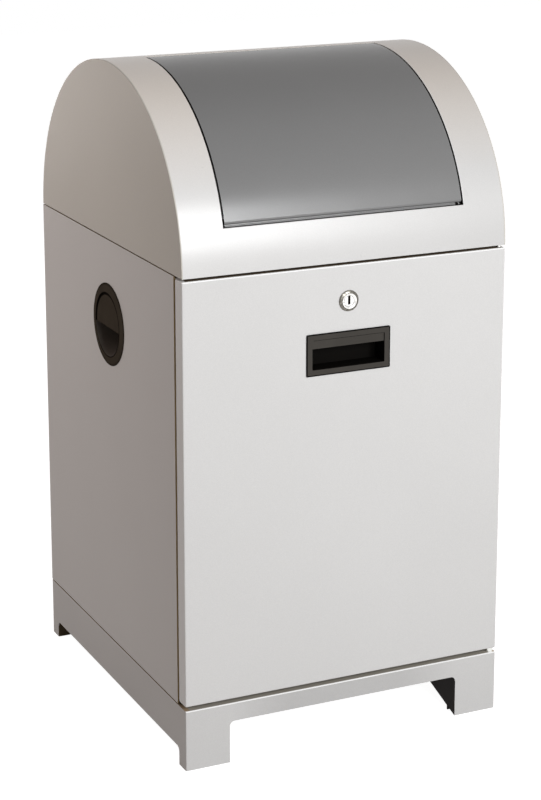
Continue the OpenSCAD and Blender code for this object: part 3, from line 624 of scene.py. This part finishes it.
# side panels: painted shade, tinted warm, in the groove beside the door, and painted shade in the joint
# under the hood
for node in ("side_panel_left", "side_panel_right"):
    softened(node, SHEET_EDGE, cuts=cuts_at(X_SIDE - GROOVE),
             zones=[("groove_shade", panel_groove), ("joint_shade", panel_top)])
for node in ("back_panel", "floor_panel", "front_rail", "front_sill",
             "top_frame", "hood_angle_left", "hood_angle_right", "flap_bracket_left", "flap_bracket_right",
             "door_rib_left", "door_rib_right", "flap_rail_left", "flap_rail_right"):
    softened(node, SHEET_EDGE)

# mouldings, lock and small parts
PULL_RIM = 0.0013  # width of the rim of painted shadow along the pull's bezel
PULL_FACE = 0.0006  # the pull's bezel and lip lie this far in at most
KEYWAY = Y_FRONT + 0.006  # the painted shade inside the lock reaches this deep
DISH_FLOOR = Y_FRONT - ROSETTE_OUT + DISH_DEEP


def grip_inside(c, n):
    return abs(c.x) < X_SIDE - SHEET


def pull_dark(c, n):
    """The pull's pocket, its walls and the rim along the outer edge of its bezel, which get painted shade.
    """
    return (c.y > Y_FRONT + PULL_FACE or n.y > -0.9
            or abs(c.x) > PULL_X - PULL_RIM or abs(c.z - PULL_Z) > PULL_H - PULL_RIM)


def lock_radius(c):
    return math.hypot(c.x, c.z - LOCK_Z)


def rosette_ring(c, n):
    return lock_radius(c) > ROSETTE_FACE + AT


def rosette_line(c, n):
    """The thin line of painted shadow round the rosette's face."""
    return 0.0 < lock_radius(c) - ROSETTE_FACE < AT


def key_hole(c, n):
    """The faces of the plug behind the floor of its dish, which get painted shade."""
    return DISH_FLOOR + 0.0004 < c.y < KEYWAY and lock_radius(c) < PLUG_R - AT


def key_slot(c, n):
    return c.y < KEYWAY and abs(c.x) < KEY_X and abs(c.z - LOCK_Z) < KEY_Z


# grips: painted light in their pockets
for node in ("grip_left", "grip_right"):
    softened(node, MOULDED_EDGE, 3, zones=[("grip_pocket_lit", grip_inside)], coat="grip_moulding")
# pull: painted shade in its pocket and along the outer edge of its bezel
softened("door_pull", MOULDED_EDGE, 3, zones=[("black_with_shade", pull_dark)],
         cuts=cuts_at(PULL_X - PULL_RIM)
         + [((0, 0, PULL_Z + side * (PULL_H - PULL_RIM)), (0, 0, 1)) for side in SIGNS])
# lock: painted reflection on the rosette's ring, painted shade in the keyway and round the rosette's face
softened("lock_rosette", ROSETTE_EDGE, 3, zones=[("lock_ring_reflection", rosette_ring), ("lock_shade", rosette_line)])
softened("lock_plug", SMALL_EDGE, cuts=cuts_at(KEY_X),
         zones=[("lock_shade", key_hole), ("lock_shade", key_slot)])
for node in ("lock_barrel", "lock_nut", "lock_cam", "cam_screw",
             "hinge_pin_top", "hinge_pin_bottom", "hinge_washer", "hinge_block_top", "hinge_block_bottom",
             "base_screws", "hood_screws", "flap_axle", "flap_buffers", "door_buffers"):
    softened(node, SMALL_EDGE)
# the flap's end caps: black rubber darkened further with painted shade
softened("flap_end_caps", CAP_EDGE, coat="black_with_shade")
for node in ("inner_bin", "inner_bin_rim", "bin_handle_front", "bin_handle_rear"):
    softened(node, BIN_EDGE)


def flap_spring(side, node):
    """Torsion spring wound round the flap's axle, with its two legs."""
    first, last, sweep = 84.0, 90.0, 2874.0  # degrees
    coil_r, wire_r, length = 0.0042, 0.0007, 0.013572
    front_leg, rear_leg, from_edge = 0.034, 0.006, 0.0084
    steps, sides = 240, 12
    start = FLAP_X - from_edge - length
    centres, turns = [], []
    for i in range(steps + 1):
        a = math.radians(first - sweep * i / steps)
        centres.append(Vector((start + length * i / steps, coil_r * math.cos(a), coil_r * math.sin(a))))
        turns.append(a)
    lead, tail = math.radians(first), math.radians(last)
    centres.insert(0, centres[0] - front_leg * Vector((0, math.sin(lead), -math.cos(lead))))
    centres.append(centres[-1] + rear_leg * Vector((0, math.sin(tail), -math.cos(tail))))
    turns = [lead] + turns + [tail]
    bm = bmesh.new()
    rings = []
    for centre, a in zip(centres, turns):
        ring = []
        for j in range(sides):
            t = 2 * math.pi * j / sides
            p = centre + wire_r * Vector((math.cos(t), math.sin(t) * math.cos(a), math.sin(t) * math.sin(a)))
            ring.append(bm.verts.new((side * p.x, AXLE_Y + p.y, AXLE_Z + p.z)))
        rings.append(ring)
    for ring, following in zip(rings, rings[1:]):
        for j in range(sides):
            k = (j + 1) % sides
            bm.faces.new((ring[j], ring[k], following[k], following[j]))
    bm.faces.new(rings[0])
    bm.faces.new(rings[-1])
    piece(node, finish_mesh(bm, node, 50))


flap_spring(-1, "flap_spring_left")
flap_spring(1, "flap_spring_right")

# floor, light and camera
scene = bpy.context.scene
scene.view_settings.view_transform = "Standard"


def seen_mix(tree, lit, shown):
    """Mixes two shaders by whether a camera, glossy or transmitted ray looks."""
    path = tree.nodes.new("ShaderNodeLightPath")
    most = path.outputs["Is Camera Ray"]
    for output in ("Is Glossy Ray", "Is Transmission Ray"):
        node = operator(tree, "ShaderNodeMath", "MAXIMUM")
        tree.links.new(most, node.inputs[0])
        tree.links.new(path.outputs[output], node.inputs[1])
        most = node.outputs[0]
    mix = tree.nodes.new("ShaderNodeMixShader")
    tree.links.new(most, mix.inputs[0])
    tree.links.new(lit, mix.inputs[1])
    tree.links.new(shown, mix.inputs[2])
    return mix.outputs[0]


world = bpy.data.worlds.new("studio")
scene.world = world
world.use_nodes = True
tree = world.node_tree
tree.nodes.clear()
dim = add(tree, "ShaderNodeBackground", Color=(1.0, 0.82, 0.73, 1), Strength=0.13)
white = add(tree, "ShaderNodeBackground", Color=(1, 1, 1, 1), Strength=1.0)
output = tree.nodes.new("ShaderNodeOutputWorld")
tree.links.new(seen_mix(tree, dim.outputs[0], white.outputs[0]), output.inputs["Surface"])


def floor_material():
    """Pale floor that shows white where it is lit and keeps a faint shadow."""
    mat = bpy.data.materials.new("floor")
    mat.use_nodes = True
    tree = mat.node_tree
    tree.nodes.clear()
    plain = add(tree, "ShaderNodeBsdfDiffuse", Color=(0.42, 0.41, 0.40, 1))
    pale = add(tree, "ShaderNodeBsdfDiffuse", Color=(0.35, 0.35, 0.35, 1))
    glow = add(tree, "ShaderNodeEmission", Color=(1, 1, 1, 1), Strength=0.97)
    both_shaders = tree.nodes.new("ShaderNodeAddShader")
    tree.links.new(pale.outputs[0], both_shaders.inputs[0])
    tree.links.new(glow.outputs[0], both_shaders.inputs[1])
    output = tree.nodes.new("ShaderNodeOutputMaterial")
    tree.links.new(seen_mix(tree, plain.outputs[0], both_shaders.outputs[0]), output.inputs["Surface"])
    return mat


FLOOR_HALF = 6.0
bm = bmesh.new()
bmesh.ops.create_grid(bm, x_segments=2, y_segments=2, size=FLOOR_HALF)
floor_mesh = bpy.data.meshes.new("floor")
bm.to_mesh(floor_mesh)
bm.free()
floor_mesh.materials.append(floor_material())
floor = bpy.data.objects.new("floor", floor_mesh)
scene.collection.objects.link(floor)


def area_light(name, place, target, size, power, colour):
    """A soft lamp that looks from place to target."""
    data = bpy.data.lights.new(name, "AREA")
    data.shape = "RECTANGLE"
    data.size, data.size_y = size
    data.energy = power
    data.color = colour
    light = bpy.data.objects.new(name, data)
    scene.collection.objects.link(light)
    light.location = place
    light.rotation_euler = (Vector(target) - Vector(place)).to_track_quat("-Z", "Y").to_euler()


area_light("key", (0.05, -2.55, 1.25), (0, -0.1, 0.42), (1.0, 1.0), 32, (0.96, 0.978, 1.0))
area_light("glint", (0.70, -2.32, 1.28), (0, -0.2, 0.6), (0.36, 1.15), 32, (0.975, 0.99, 1.0))
area_light("fill", (-1.1, 0.4, 0.88), (-0.2, 0, 0.45), (0.6, 0.6), 3.55, (1.0, 0.88, 0.83))
area_light("side", (1.3, 0.5, 0.9), (0.2, 0, 0.45), (0.6, 0.6), 2.2, (1.0, 0.94, 0.89))
area_light("rear", (-0.35, 2.4, 0.7), (0, 0, 0.4), (1.0, 1.0), 13, (1.0, 0.96, 0.93))

CAMERA_AT = Vector((-1.0768, -2.3235, 1.1252))
YAW, PITCH = math.radians(25.016), math.radians(13.312)
SENSOR_MM, LENS_MM, SHIFT = 36.0, 99.0, -0.17
forward = Vector((math.sin(YAW) * math.cos(PITCH), math.cos(YAW) * math.cos(PITCH), -math.sin(PITCH)))
right = Vector((math.cos(YAW), -math.sin(YAW), 0))
upward = right.cross(forward)
camera_data = bpy.data.cameras.new("camera")
camera_data.sensor_fit = "VERTICAL"
camera_data.sensor_height = SENSOR_MM
camera_data.lens = LENS_MM
camera_data.shift_y = SHIFT
camera = bpy.data.objects.new("camera", camera_data)
scene.collection.objects.link(camera)
camera.matrix_world = Matrix.Translation(CAMERA_AT) @ Matrix((right, upward, -forward)).transposed().to_4x4()
scene.camera = camera
